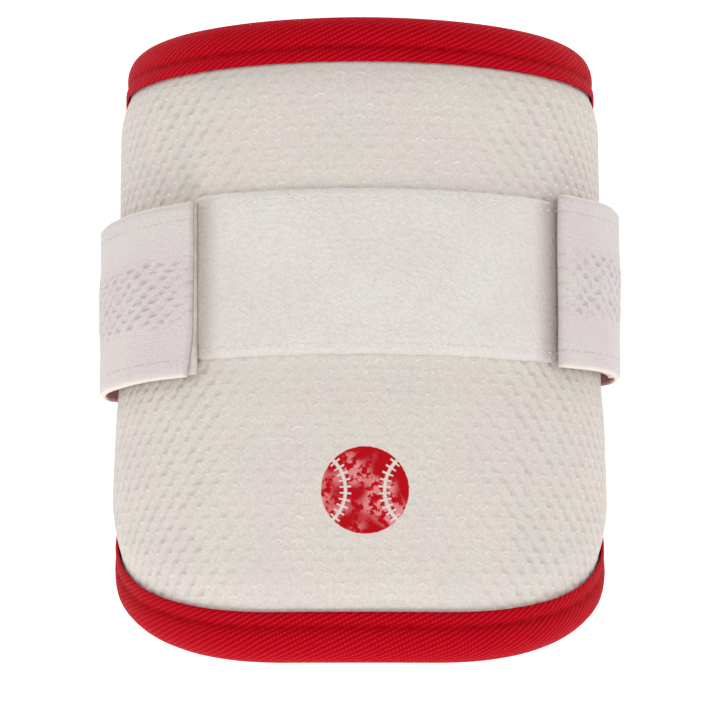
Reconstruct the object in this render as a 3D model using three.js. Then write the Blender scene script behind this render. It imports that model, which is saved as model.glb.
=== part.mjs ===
// Baseball elbow guard: a foam pad in white mesh cloth bent into an arch round the arm, bound all round
// with red tape, with a loop panel across its front and an elastic strap that closes on it at both ends.
// Millimetres, +Z up. The guard lies face up on its strap. +Y points to the upper-arm end, +X to the right
// of its front, and the origin is on the surface that it lies on, under the middle of the guard.
import * as THREE from "three";
import { ParametricGeometry } from "three/addons/geometries/ParametricGeometry.js";

// Clear space between touching pieces.
const clearance = 0.3;

// The foam pad in its cloth, inside the tape. Arc lengths run along its outside, from the crown line.
const pad = {
  length: 181,
  radius: 73,
  thickness: 16,
  sideArc: 133,
  topCornerRadius: 24,
  hemFlatHalf: 25,
  hemRadius: 185,
  hemCornerRadius: 26,
};

// The pad's border, where it thins into the tape: how far in it reaches, how far its outside drops and its
// inside rises, and how far its rounded rim reaches in.
const border = { width: 23, drop: 2.3, rise: 3.4, rimRound: 4.4 };

// The tape folded round the rim, out to its lip on each face.
const tape = { thickness: 1.2, lip: 12.6 };

// The loop panel across the front. It narrows under the strap's ends.
const panel = { thickness: 1.6, width: 47.4, centre: 17.6, narrowWidth: 37, narrowing: 7 };

// The elastic strap. Its ends lie on the front at these angles from the crown, and it climbs by slant for
// each millimetre from left to right.
const strap = {
  thickness: 1.8,
  width: 50,
  centre: 15.8,
  leftEnd: 38.2,
  rightEnd: 48.4,
  turnRadius: 12,
  slant: 0.034,
};

// The hook patches under the strap's ends. The left one shows past its end, the right one stops short.
const hook = { thickness: 1.5, length: 46, width: 49, leftShow: 1.2, rightShow: -2 };

// The pad's outline is walked in four sides of this many steps, and its rounded rim in rimSteps. The loop
// panel has middleSteps between the strap's ends and underSteps under each. The strap's and the hook
// patches' curves have bandSteps and patchSteps.
const sideSteps = 32;
const rimSteps = 4;
const middleSteps = 20;
const underSteps = 6;
const bandSteps = 20;
const patchSteps = 16;

// What each piece is made of.
const cloth = { color: 0xe6dfd8, roughness: 0.85 };
const twill = { color: 0xb50f1e, roughness: 0.7 };
const pile = { color: 0xe3ded9, roughness: 0.95 };
const elastic = { color: 0xdfd6d6, roughness: 0.8 };
const hooks = { color: 0xc6b5a4, roughness: 0.6 };

// Sections along the pad, from the hem (-1) to the top (1): the outside radius as a share of pad.radius.
// The strap's stretch is drawn in a little.
const waist = 0.993;
const lengthSections = [
  { at: -1.0, radius: 1.0 },
  { at: -0.8, radius: 1.012 },
  { at: -0.5, radius: 1.014 },
  { at: -0.25, radius: 1.007 },
  { at: -0.08, radius: waist },
  { at: 0.55, radius: waist },
  { at: 0.8, radius: 0.99 },
  { at: 1.0, radius: 0.968 },
];

// Sections across the border, from the rim inwards, as shares of the border's width, drop and rise. The
// deepest drop is the crease where the tape is sewn down.
const borderSections = [
  { inset: border.rimRound / border.width, drop: 1.0, rise: 1.0 },
  { inset: 0.36, drop: 1.15, rise: 1.0 },
  { inset: 0.46, drop: 1.0, rise: 1.0 },
  { inset: tape.lip / border.width, drop: 0.9, rise: 1.0 },
  { inset: 0.8, drop: 0.4, rise: 0.5 },
  { inset: 1.0, drop: 0, rise: 0 },
];

const radians = THREE.MathUtils.degToRad;
const { lerp } = THREE.MathUtils;

// Straight-line reading of a table between the rows on either side of x.
function read(table, key, value, x) {
  const next = table.findIndex((row) => row[key] >= x);
  if (next === 0) return table[0][value];
  if (next < 0) return table[table.length - 1][value];
  const [a, b] = [table[next - 1], table[next]];
  return lerp(a[value], b[value], (x - a[key]) / (b[key] - a[key]));
}

// The pad's outside radius before the border's drop, at y along the guard.
function radiusAt(y) {
  return pad.radius * read(lengthSections, "at", "radius", (2 * y) / pad.length);
}

// A point on the arch: arc length along the outside, y along the guard, and radius from the arch's axis.
function onArch(arc, y, radius) {
  const angle = arc / pad.radius;
  return new THREE.Vector3(radius * Math.sin(angle), y, radius * Math.cos(angle));
}

// The pad's flat outline as four paths, counter-clockwise, that meet in the middle of its corners.
function outlineSides() {
  const half = pad.length / 2;
  const { sideArc, hemFlatHalf: flat, hemRadius, hemCornerRadius: low, topCornerRadius: top } = pad;
  const lowX = sideArc - low;
  const bend = Math.acos((lowX - flat) / (hemRadius - low));
  const hemY = hemRadius - half;
  const lowY = hemY - Math.sin(bend) * (hemRadius - low);
  const topX = sideArc - top;
  const topY = half - top;
  const right = new THREE.Path();
  right.absarc(lowX, lowY, low, -bend / 2, 0).lineTo(sideArc, topY);
  right.absarc(topX, topY, top, 0, Math.PI / 4);
  const upper = new THREE.Path();
  upper.absarc(topX, topY, top, Math.PI / 4, Math.PI / 2).lineTo(-topX, half);
  upper.absarc(-topX, topY, top, Math.PI / 2, (3 * Math.PI) / 4);
  const left = new THREE.Path();
  left.absarc(-topX, topY, top, (3 * Math.PI) / 4, Math.PI).lineTo(-sideArc, lowY);
  left.absarc(-lowX, lowY, low, Math.PI, Math.PI + bend / 2);
  const hem = new THREE.Path();
  hem.absarc(-lowX, lowY, low, Math.PI + bend / 2, Math.PI + bend);
  hem.absarc(-flat, hemY, hemRadius, Math.PI + bend, 1.5 * Math.PI).lineTo(flat, -half);
  hem.absarc(flat, hemY, hemRadius, -Math.PI / 2, -bend);
  hem.absarc(lowX, lowY, low, -bend, -bend / 2);
  return { right, upper, left, hem };
}
const sides = outlineSides();

// The flat point that lies inset from the outline, for a point (u, v) on the edge of the square -1..1.
function insetPoint(u, v, inset) {
  let [path, along] = [sides.hem, (u + 1) / 2];
  if (u === 1) [path, along] = [sides.right, (v + 1) / 2];
  else if (v === 1) [path, along] = [sides.upper, (1 - u) / 2];
  else if (u === -1) [path, along] = [sides.left, (1 - v) / 2];
  const tangent = path.getTangent(along);
  return path.getPoint(along).add(new THREE.Vector2(-tangent.y, tangent.x).multiplyScalar(inset));
}

// Moves each vertex of a geometry by a function of its position.
function reshape(geometry, move) {
  const position = geometry.getAttribute("position");
  const vertex = new THREE.Vector3();
  for (let i = 0; i < position.count; i++) {
    const moved = move(vertex.fromBufferAttribute(position, i));
    position.setXYZ(i, moved.x, moved.y, moved.z);
  }
  geometry.computeVertexNormals();
  return geometry;
}

// How far in the rounded rim lies at a height across it, from -1 on the inside to 1 on the outside.
function rimInset(across) {
  return border.rimRound * (1 - Math.sqrt(1 - across * across));
}

// The pad: a block of square rings. The outer rings are the border's sections, the rest shrink evenly to
// the middle, and the block's sides are the rounded rim.
function padGeometry() {
  const rings = sideSteps / 2;
  const lastRing = borderSections.length - 1;
  const block = new THREE.BoxGeometry(2, 2, 2, sideSteps, sideSteps, rimSteps);
  return reshape(block, ({ x, y, z: across }) => {
    const column = Math.round((x + 1) * rings);
    const row = Math.round((y + 1) * rings);
    const ring = Math.min(column, row, sideSteps - column, sideSteps - row);
    const section = borderSections[Math.min(ring, lastRing)];
    const steps = Math.max(sideSteps - 2 * ring, 1);
    const [u, v] = [(2 * (column - ring)) / steps - 1, (2 * (row - ring)) / steps - 1];
    const flat = insetPoint(u, v, ring === 0 ? rimInset(across) : section.inset * border.width);
    flat.multiplyScalar(Math.min((rings - ring) / (rings - lastRing), 1));
    const outside = radiusAt(flat.y) - border.drop * section.drop;
    const inside = radiusAt(flat.y) - pad.thickness + border.rise * section.rise;
    return onArch(flat.x, flat.y, lerp(inside, outside, (across + 1) / 2));
  });
}

// The rim's cross-section as seen by the tape, from the lip on the outside round to the lip on the inside:
// how far each point is inset, and its height beside the pad's outside radius.
function rimSection() {
  const covered = borderSections.filter((row) => row.inset * border.width <= tape.lip);
  const [rim, lip] = [covered[0], covered[covered.length - 1]];
  const top = -border.drop * rim.drop;
  const bottom = border.rise * rim.rise - pad.thickness;
  const points = covered.map((row) => [row.inset * border.width, -border.drop * row.drop]).reverse();
  for (let i = 1; i < rimSteps; i++) {
    const across = 1 - (2 * i) / rimSteps;
    points.push([rimInset(across), lerp(bottom, top, (across + 1) / 2)]);
  }
  points.push([border.rimRound, bottom], [tape.lip, border.rise * lip.rise - pad.thickness]);
  return points.map(([inset, height]) => new THREE.Vector2(inset, height));
}

// A section moved away from the pad by a distance, square to its own run.
function offsetSection(points, distance) {
  return points.map((point, i) => {
    const before = points[Math.max(i - 1, 0)];
    const after = points[Math.min(i + 1, points.length - 1)];
    const run = after.clone().sub(before).normalize();
    return point.clone().add(new THREE.Vector2(run.y, -run.x).multiplyScalar(distance));
  });
}

// The tape: its section carried all the way round the pad's outline.
function tapeGeometry() {
  const rim = rimSection();
  const ring = [
    ...offsetSection(rim, clearance + tape.thickness),
    ...offsetSection(rim, clearance).reverse(),
  ];
  const stations = 4 * sideSteps;
  const carry = (across, along, target) => {
    const section = ring[Math.round(across * ring.length) % ring.length];
    const station = Math.round(along * stations) % stations;
    const step = (2 * (station % sideSteps)) / sideSteps - 1;
    const [u, v] = [[1, step], [-step, 1], [-1, -step], [step, -1]][Math.floor(station / sideSteps)];
    const flat = insetPoint(u, v, section.x);
    target.copy(onArch(flat.x, flat.y, radiusAt(flat.y) + section.y));
  };
  return new ParametricGeometry(carry, ring.length, stations);
}

// The radius of the pad's outside along the strap's stretch.
const waistRadius = pad.radius * waist;
const panelInside = waistRadius + clearance;
const hookInside = panelInside + panel.thickness + clearance;
const strapInside = hookInside + hook.thickness + clearance;

// The arc length on the pad of an angle in degrees.
function arcOf(angle) {
  return radians(angle) * pad.radius;
}

// The loop panel: a strip laid on the pad, at its full width between the strap's ends and as far under them
// as the hook patches reach.
function panelGeometry() {
  const [left, right] = [-arcOf(strap.leftEnd), arcOf(strap.rightEnd)];
  const stations = [{ arc: left - hook.length, width: panel.narrowWidth }];
  const runs = [
    { to: left - panel.narrowing, width: panel.narrowWidth, steps: underSteps },
    { to: left, width: panel.width, steps: 1 },
    { to: right, width: panel.width, steps: middleSteps },
    { to: right + panel.narrowing, width: panel.narrowWidth, steps: 1 },
    { to: right + hook.length, width: panel.narrowWidth, steps: underSteps },
  ];
  for (const { to, width, steps } of runs) {
    const from = stations[stations.length - 1].arc;
    for (let i = 1; i <= steps; i++) stations.push({ arc: lerp(from, to, i / steps), width });
  }
  const last = stations.length - 1;
  const strip = new THREE.BoxGeometry(2, 1, panel.thickness, last, 1, 1);
  return reshape(strip, ({ x, y, z }) => {
    const { arc, width } = stations[Math.round(((x + 1) / 2) * last)];
    return onArch(arc, y * width + panel.centre, panelInside + z + panel.thickness / 2);
  });
}

// A flat section in x and z carried along y for a width, about a centre.
function carried(shape, width, centre, curveSegments) {
  const geometry = new THREE.ExtrudeGeometry(shape, { depth: width, curveSegments, bevelEnabled: false });
  return geometry.rotateX(Math.PI / 2).translate(0, centre + width / 2, 0);
}

const tapeShape = tapeGeometry();
tapeShape.computeBoundingBox();
// Heights from the arch's axis: the middle of the strap's run under the guard, and the strap's underside.
const runHeight = tapeShape.boundingBox.min.z - clearance - strap.thickness / 2;
const floorHeight = runHeight - strap.thickness / 2;

// Slants a geometry along the guard with its distance from the crown line, as the strap climbs.
function slanted(geometry) {
  return reshape(geometry, ({ x, y, z }) => new THREE.Vector3(x, y + strap.slant * x, z));
}

// The strap: round the front on the arch's own circle, round the wings' edges, and flat underneath.
function strapGeometry() {
  const middle = strapInside + strap.thickness / 2;
  const turnZ = runHeight + strap.turnRadius;
  const turnX = Math.sqrt((middle - strap.turnRadius) ** 2 - turnZ ** 2);
  const leave = Math.atan2(turnZ, turnX);
  const rightEnd = radians(90 - strap.rightEnd);
  const leftEnd = radians(90 + strap.leftEnd);
  const band = new THREE.Shape();
  const walk = (side, clockwise) => {
    const bendRadius = middle + side;
    const turn = strap.turnRadius + side;
    const arcs = [
      [0, 0, bendRadius, rightEnd, leave],
      [turnX, turnZ, turn, leave, -Math.PI / 2],
      [-turnX, turnZ, turn, -Math.PI / 2, -Math.PI - leave],
      [0, 0, bendRadius, Math.PI - leave, leftEnd],
    ];
    if (clockwise) arcs.forEach(([x, y, r, from, to]) => band.absarc(x, y, r, from, to, true));
    else arcs.reverse().forEach(([x, y, r, from, to]) => band.absarc(x, y, r, to, from, false));
  };
  walk(strap.thickness / 2, true);
  walk(-strap.thickness / 2, false);
  return slanted(carried(band, strap.width, strap.centre, bandSteps));
}

// A hook patch: a piece of a ring between two angles from the crown, in degrees, positive to the right.
function hookGeometry(from, to) {
  const [start, end] = [radians(90 - to), radians(90 - from)];
  const patch = new THREE.Shape();
  patch.absarc(0, 0, hookInside + hook.thickness, start, end, false);
  patch.absarc(0, 0, hookInside, end, start, true);
  return slanted(carried(patch, hook.width, strap.centre, patchSteps));
}

const guard = new THREE.Group();
guard.position.z = -floorHeight;

function addPiece(name, geometry, { color, roughness }) {
  const piece = new THREE.Mesh(geometry, new THREE.MeshStandardMaterial({ color, roughness, metalness: 0 }));
  piece.name = name;
  guard.add(piece);
}

const hookAngle = THREE.MathUtils.radToDeg(hook.length / hookInside);
const showAngle = (show) => THREE.MathUtils.radToDeg(show / hookInside);
const leftHook = -strap.leftEnd + showAngle(hook.leftShow);
const rightHook = strap.rightEnd - showAngle(hook.rightShow);

addPiece("guard_pad", padGeometry(), cloth);
addPiece("edge_tape", tapeShape, twill);
addPiece("loop_panel", panelGeometry(), pile);
addPiece("elastic_strap", strapGeometry(), elastic);
addPiece("hook_patch_left", hookGeometry(leftHook - hookAngle, leftHook), hooks);
addPiece("hook_patch_right", hookGeometry(rightHook, rightHook + hookAngle), hooks);

export default guard;
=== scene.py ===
"""Looks of a baseball elbow guard: a foam pad in raised mesh cloth bent into an arch, red tape round its
edge, a loop panel across the front and an elastic strap that closes on it. Metres, in the part's own
frame."""

import math

import bmesh
import bpy
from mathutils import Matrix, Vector, noise


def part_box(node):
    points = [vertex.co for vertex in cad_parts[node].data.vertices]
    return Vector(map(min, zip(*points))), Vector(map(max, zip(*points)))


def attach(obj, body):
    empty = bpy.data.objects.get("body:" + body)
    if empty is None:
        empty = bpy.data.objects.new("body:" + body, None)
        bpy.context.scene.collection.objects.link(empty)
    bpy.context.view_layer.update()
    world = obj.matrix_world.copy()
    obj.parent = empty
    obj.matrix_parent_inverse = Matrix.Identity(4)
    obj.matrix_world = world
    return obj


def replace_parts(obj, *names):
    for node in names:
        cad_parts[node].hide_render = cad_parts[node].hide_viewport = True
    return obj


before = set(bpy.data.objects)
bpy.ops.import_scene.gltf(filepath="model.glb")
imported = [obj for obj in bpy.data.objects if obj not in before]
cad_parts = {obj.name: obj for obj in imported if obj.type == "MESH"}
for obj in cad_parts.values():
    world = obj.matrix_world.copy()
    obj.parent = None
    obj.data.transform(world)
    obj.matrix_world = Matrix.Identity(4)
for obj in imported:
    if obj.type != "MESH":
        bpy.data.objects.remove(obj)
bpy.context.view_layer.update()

MM = 0.001
PI = math.pi

# Lengths that differ by less than SAME count as equal, and a step shorter than NO_STEP as none.
SAME = 1e-12
NO_STEP = 1e-9

# The pad, as cut: arc lengths run along its outside from the crown line.
PAD_LENGTH = 181 * MM
PAD_RADIUS = 73 * MM
PAD_THICKNESS = 16 * MM
SIDE_ARC = 133 * MM
TOP_CORNER = 24 * MM
HEM_FLAT = 25 * MM
HEM_RADIUS = 185 * MM
HEM_CORNER = 26 * MM

# The pad's border: its width, how far its front drops and its lining rises towards the tape, how fast that
# fades inwards, and how far in the rim is rounded.
BORDER = 23 * MM
BORDER_DROP = 2.3 * MM
BORDER_RISE = 3.4 * MM
BORDER_FADE = 1.7
RIM_ROUND = 4.4 * MM

# How far in from the pad's rim the tape's lip and the crease where it is sewn lie.
TAPE_LIP = 12.6 * MM
TAPE_CREASE = 8.4 * MM

# Outside radius of the pad as a share of PAD_RADIUS, from the hem (-1) to the top (1).
WAIST = 0.993
LENGTH_SECTIONS = (
    (-1.0, 1.0),
    (-0.8, 1.012),
    (-0.5, 1.014),
    (-0.25, 1.007),
    (-0.08, WAIST),
    (0.55, WAIST),
    (0.8, 0.99),
    (1.0, 0.968),
)

# The layers on the front.
GAP = 0.3 * MM
PANEL_THICKNESS = 1.6 * MM
PANEL_WIDTH = 47.4 * MM
PANEL_CENTRE = 17.6 * MM
PANEL_NARROW = 37 * MM
PANEL_NARROWING = 7 * MM
HOOK_THICKNESS = 1.5 * MM
HOOK_LENGTH = 46 * MM
HOOK_WIDTH = 49 * MM
STRAP_THICKNESS = 1.8 * MM
STRAP_WIDTH = 50 * MM
STRAP_CENTRE = 15.8 * MM
STRAP_SLANT = 0.034
LEFT_END = math.radians(38.2)
RIGHT_END = math.radians(48.4)
TURN_RADIUS = 12 * MM

# Where the strap's ends lie along the pad's outside.
LEFT_ARC = -LEFT_END * PAD_RADIUS
RIGHT_ARC = RIGHT_END * PAD_RADIUS

PANEL_INSIDE = PAD_RADIUS * WAIST + GAP
HOOK_INSIDE = PANEL_INSIDE + PANEL_THICKNESS + GAP
STRAP_INSIDE = HOOK_INSIDE + HOOK_THICKNESS + GAP
STRAP_MIDDLE = STRAP_INSIDE + STRAP_THICKNESS / 2

# Height of the arch's axis above the surface, from where the strap's left end stands.
AXIS_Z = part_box("elastic_strap")[1][2] - (STRAP_INSIDE + STRAP_THICKNESS) * math.cos(LEFT_END)


# Places on the arch


def ramp(value, low, high):
    """A smooth rise from 0 at low to 1 at high."""
    share = min(max((value - low) / (high - low), 0.0), 1.0)
    return share * share * (3 - 2 * share)


def edge_round(distance, reach):
    """Share of its height that a soft edge keeps at a distance in from it."""
    inside = min(max(distance / reach, 0.0), 1.0)
    return math.sqrt(1 - (1 - inside) ** 2)


def radius_at(y):
    """Outside radius of the pad before its border drops."""
    at = 2 * y / PAD_LENGTH
    for (low, a), (high, b) in zip(LENGTH_SECTIONS, LENGTH_SECTIONS[1:]):
        if at <= high:
            return PAD_RADIUS * (a + (b - a) * ramp(at, low, high))
    return PAD_RADIUS * LENGTH_SECTIONS[-1][1]


def outward(angle):
    """The way out from the arch's axis at an angle from the crown."""
    return Vector((math.sin(angle), 0.0, math.cos(angle)))


def onward(angle):
    """The way round the arch at an angle from the crown."""
    return Vector((math.cos(angle), 0.0, -math.sin(angle)))


def on_arch(arc, y, radius):
    """Where a point of the flat pattern lies once the pad is bent."""
    angle = arc / PAD_RADIUS
    return Vector((radius * math.sin(angle), y, AXIS_Z + radius * math.cos(angle)))


def from_axis(co):
    """The way from the arch's axis straight out to a point, as long as their distance."""
    return Vector((co.x, 0.0, co.z - AXIS_Z))


def strap_y(across, x):
    """Where a point across the strap lies along the arm. The strap climbs a little from left to right."""
    return STRAP_CENTRE + across + STRAP_SLANT * x


def strap_path():
    """The strap's middle line from its right end round the back to its left end: points, ways out, reach."""
    turn_z = TURN_RADIUS + STRAP_THICKNESS / 2 - AXIS_Z
    turn_x = math.sqrt((STRAP_MIDDLE - TURN_RADIUS) ** 2 - turn_z**2)
    leave = math.atan2(turn_z, turn_x)
    quarter = PI / 2
    # Each arc: its centre's x and z, its radius, its first and last angle, and its steps.
    arcs = (
        (0.0, 0.0, STRAP_MIDDLE, quarter - RIGHT_END, leave, 90),
        (turn_x, turn_z, TURN_RADIUS, leave, -quarter, 30),
        (-turn_x, turn_z, TURN_RADIUS, -quarter, -2 * quarter - leave, 30),
        (0.0, 0.0, STRAP_MIDDLE, 2 * quarter - leave, quarter + LEFT_END, 100),
    )
    spots = []
    for x, z, radius, start, end, steps in arcs:
        for i in range(steps + 1):
            angle = start + (end - start) * i / steps
            out = Vector((math.cos(angle), 0.0, math.sin(angle)))
            spots.append((Vector((x, 0.0, z + AXIS_Z)) + out * radius, out))
    reach = [0.0]
    for (a, _), (b, _) in zip(spots, spots[1:]):
        reach.append(reach[-1] + (b - a).length)
    return spots, reach


STRAP_SPOTS, STRAP_REACH = strap_path()
STRAP_LENGTH = STRAP_REACH[-1]


def strap_at(distance):
    """The point of the strap's middle line at a distance from its right end, and the way out there."""
    distance = min(max(distance, 0.0), STRAP_LENGTH)
    i = next(k for k in range(1, len(STRAP_REACH)) if STRAP_REACH[k] >= distance - SAME)
    step = STRAP_REACH[i] - STRAP_REACH[i - 1]
    part = (distance - STRAP_REACH[i - 1]) / step if step > NO_STEP else 0.0
    (a, out_a), (b, out_b) = STRAP_SPOTS[i - 1], STRAP_SPOTS[i]
    return a.lerp(b, part), out_a.lerp(out_b, part).normalized()


# The pad's flat outline


class Run:
    """One side of the pad's flat outline, walked by its length."""

    def __init__(self, points):
        self.points = points
        self.reach = [0.0]
        for a, b in zip(points, points[1:]):
            self.reach.append(self.reach[-1] + (b - a).length)
        self.inward = []
        for i in range(len(points)):
            run = points[min(i + 1, len(points) - 1)] - points[max(i - 1, 0)]
            self.inward.append(Vector((-run.y, run.x)).normalized())

    def at(self, share):
        wanted = min(max(share, 0.0), 1.0) * self.reach[-1]
        i = next(k for k in range(1, len(self.reach)) if self.reach[k] >= wanted - SAME)
        part = (wanted - self.reach[i - 1]) / (self.reach[i] - self.reach[i - 1])
        point = self.points[i - 1].lerp(self.points[i], part)
        return point, self.inward[i - 1].lerp(self.inward[i], part)


def curve(x, y, radius, start, end, steps=18):
    """Points of an arc in the flat pattern."""
    angles = (start + (end - start) * i / steps for i in range(steps + 1))
    return [Vector((x + radius * math.cos(a), y + radius * math.sin(a))) for a in angles]


def outline():
    """The pad's flat outline as four runs, counter-clockwise, that meet in the middle of its corners."""
    half = PAD_LENGTH / 2
    low_x = SIDE_ARC - HEM_CORNER
    bend = math.acos((low_x - HEM_FLAT) / (HEM_RADIUS - HEM_CORNER))
    hem_y = HEM_RADIUS - half
    low_y = hem_y - math.sin(bend) * (HEM_RADIUS - HEM_CORNER)
    top_x = SIDE_ARC - TOP_CORNER
    top_y = half - TOP_CORNER

    def top_corner(side, start, end):
        return curve(side * top_x, top_y, TOP_CORNER, start, end)

    def hem_corner(side, start, end):
        return curve(side * low_x, low_y, HEM_CORNER, start, end)

    def hem_bow(side, start, end):
        return curve(side * HEM_FLAT, hem_y, HEM_RADIUS, start, end)

    right = hem_corner(1, -bend / 2, 0) + top_corner(1, 0, PI / 4)
    upper = top_corner(1, PI / 4, PI / 2) + top_corner(-1, PI / 2, 0.75 * PI)
    left = top_corner(-1, 0.75 * PI, PI) + hem_corner(-1, PI, PI + bend / 2)
    hem = hem_corner(-1, PI + bend / 2, PI + bend)[:-1] + hem_bow(-1, PI + bend, 1.5 * PI)
    hem += hem_bow(1, -PI / 2, -bend)[:-1] + hem_corner(1, -bend, -bend / 2)
    return {"right": Run(right), "upper": Run(upper), "left": Run(left), "hem": Run(hem)}


SIDES = outline()


def inset_point(u, v, inset):
    """The flat point that lies inset from the outline, for (u, v) on the edge of the square -1..1."""
    if u >= 1:
        point, inward = SIDES["right"].at((v + 1) / 2)
    elif v >= 1:
        point, inward = SIDES["upper"].at((1 - u) / 2)
    elif u <= -1:
        point, inward = SIDES["left"].at((1 - v) / 2)
    else:
        point, inward = SIDES["hem"].at((u + 1) / 2)
    return point + inward * inset


# Meshes


def finish_mesh(name, bm, materials):
    """Turns a bmesh into an object, with smooth faces that look outward."""
    bmesh.ops.recalc_face_normals(bm, faces=bm.faces[:])
    mesh = bpy.data.meshes.new(name)
    bm.to_mesh(mesh)
    bm.free()
    mesh.shade_smooth()
    for material in materials:
        mesh.materials.append(material)
    piece = bpy.data.objects.new(name, mesh)
    bpy.context.scene.collection.objects.link(piece)
    return piece


def put_in_order(bm):
    """Sorts a grid's points, edges and faces by place, so that each run gives the same mesh."""
    columns_first = Vector((1e6, 1e3, 1.0))
    bm.verts.sort(key=lambda vert: vert.co.dot(columns_first))
    bm.edges.sort(key=lambda edge: (edge.verts[0].co + edge.verts[1].co).dot(columns_first))
    bm.faces.sort(key=lambda face: face.calc_center_median().dot(columns_first))


def slab(name, columns, rows, place, flat, materials, layers):
    """A closed slab from a fine grid: place(u, v, w) is where a point goes, with u and v in -1..1 across it
    and w from 0 at its underside to 1 on top, and flat(u, v, w) is its place in the flat pattern."""
    bm = bmesh.new()
    bmesh.ops.create_grid(bm, x_segments=columns, y_segments=rows, size=1.0)
    raised = bmesh.ops.extrude_face_region(bm, geom=bm.faces[:])["geom"]
    bmesh.ops.translate(bm, verts=[g for g in raised if isinstance(g, bmesh.types.BMVert)], vec=(0, 0, 1))
    upright = [e for e in bm.edges if abs(e.verts[0].co.z - e.verts[1].co.z) > 0.5]
    bmesh.ops.subdivide_edges(bm, edges=upright, cuts=layers - 1, use_grid_fill=True)
    for vert in bm.verts:
        vert.co.z = round(vert.co.z * layers) / layers
    put_in_order(bm)
    pattern = bm.loops.layers.uv.new("flat")
    for face in bm.faces:
        for loop in face.loops:
            loop[pattern].uv = flat(*loop.vert.co)
    for vert in bm.verts:
        vert.co = place(*vert.co)
    return finish_mesh(name, bm, materials)


def smooth_loop(points, steps):
    """A closed smooth curve through points, with steps to each of them."""
    smooth = []
    count = len(points)
    for i in range(count):
        a, b, c, d = (Vector(points[(i + k) % count]) for k in (-1, 0, 1, 2))
        for k in range(steps):
            t = k / steps
            square = (2 * a - 5 * b + 4 * c - d) * t * t
            cube = (3 * b - a - 3 * c + d) * t**3
            smooth.append(0.5 * (2 * b + (c - a) * t + square + cube))
    return smooth


def stitch_run(bm, places, length, width, height):
    """Sewn stitches: each place is a point, the way that the thread runs and the way up."""
    for point, run, up in places:
        side = up.cross(run).normalized()
        bead = bmesh.ops.create_icosphere(bm, subdivisions=1, radius=0.5)["verts"]
        for vert in bead:
            x, y, z = vert.co
            vert.co = point + run * (x * length) + side * (y * width) + up * (z * height)


# Shaders


def srgb(red, green, blue):
    """A colour as read from a picture, 0 to 255, in the linear values that a shader takes."""
    parts = (red / 255, green / 255, blue / 255)
    return tuple(c / 12.92 if c <= 0.04045 else ((c + 0.055) / 1.055) ** 2.4 for c in parts) + (1.0,)


class Finish:
    """A material with short names for the nodes that it is made of."""

    def __init__(self, name, roughness, sheen=0.0, specular=0.3):
        self.material = bpy.data.materials.new(name)
        self.material.use_nodes = True
        self.tree = self.material.node_tree
        self.shader = self.tree.nodes["Principled BSDF"]
        self.set("Roughness", roughness)
        self.set("Sheen Weight", sheen)
        self.set("Sheen Roughness", 0.5)
        self.set("Specular IOR Level", specular)

    def set(self, socket, value):
        """Gives a socket of the shader its value or its link."""
        self.put(self.shader.inputs[socket], value)

    def put(self, socket, value):
        if isinstance(value, bpy.types.NodeSocket):
            self.tree.links.new(value, socket)
        else:
            socket.default_value = value

    def add(self, kind, values=(), **settings):
        node = self.tree.nodes.new("ShaderNode" + kind)
        for key, value in settings.items():
            setattr(node, key, value)
        for key, value in dict(values).items():
            self.put(node.inputs[key], value)
        return node

    def math(self, operation, a, b=0.0):
        return self.add("Math", {0: a, 1: b}, operation=operation).outputs[0]

    def times(self, a, b):
        return self.math("MULTIPLY", a, b)

    def plus(self, a, b):
        return self.math("ADD", a, b)

    def minus(self, a, b):
        return self.math("SUBTRACT", a, b)

    def size(self, value):
        """A value without its sign."""
        return self.math("ABSOLUTE", value)

    def either(self, a, b):
        """The greater of two masks."""
        return self.math("MAXIMUM", a, b)

    def distance(self, x, y):
        return self.math("SQRT", self.plus(self.times(x, x), self.times(y, y)))

    def wave(self, value):
        """Cosine with a period of 1."""
        return self.math("COSINE", self.times(value, 2 * PI))

    def ribs(self, value, pitch):
        """A wave that comes back every pitch."""
        return self.wave(self.times(value, 1 / pitch))

    def spread(self, value, low, high, to_low=0.0, to_high=1.0):
        """A smooth change from to_low where the value is low to to_high where it is high."""
        values = {"Value": value, "From Min": low, "From Max": high, "To Min": to_low, "To Max": to_high}
        return self.add("MapRange", values, interpolation_type="SMOOTHSTEP").outputs[0]

    def blend(self, factor, a, b):
        return self.add("Mix", {0: factor, 6: a, 7: b}, data_type="RGBA").outputs[2]

    def tint(self, tone, where, amount, colour):
        """Lays a colour on a tone where a mask is 1, up to an amount."""
        return self.blend(self.times(where, amount), tone, colour)

    def pattern(self):
        """Flat pattern coordinates in metres, along and across."""
        place = self.add("UVMap", uv_map="flat").outputs[0]
        parts = self.add("SeparateXYZ", {0: place})
        return parts.outputs[0], parts.outputs[1]

    def at(self, along, across):
        return self.add("CombineXYZ", {0: along, 1: across}).outputs[0]

    def solid_place(self):
        return self.add("TexCoord").outputs["Object"]

    def noise(self, place, scale, detail=2.0, roughness=0.5):
        values = {"Vector": place, "Scale": scale, "Detail": detail, "Roughness": roughness}
        return self.add("TexNoise", values).outputs[0]

    def drift(self, place, scale, detail, reach):
        """A soft unevenness, as far to one side as to the other."""
        return self.times(self.minus(self.noise(place, scale, detail), 0.5), reach)

    def bump(self, height, distance):
        return self.add("Bump", {"Height": height, "Distance": distance, "Strength": 1.0}).outputs[0]

    def done(self, colour, normal=None, roughness=None):
        self.set("Base Color", colour)
        if normal is not None:
            self.set("Normal", normal)
        if roughness is not None:
            self.set("Roughness", roughness)
        return self.material


# A pair of distances in the finishes below holds where a mask is gone and where it is full.

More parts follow.
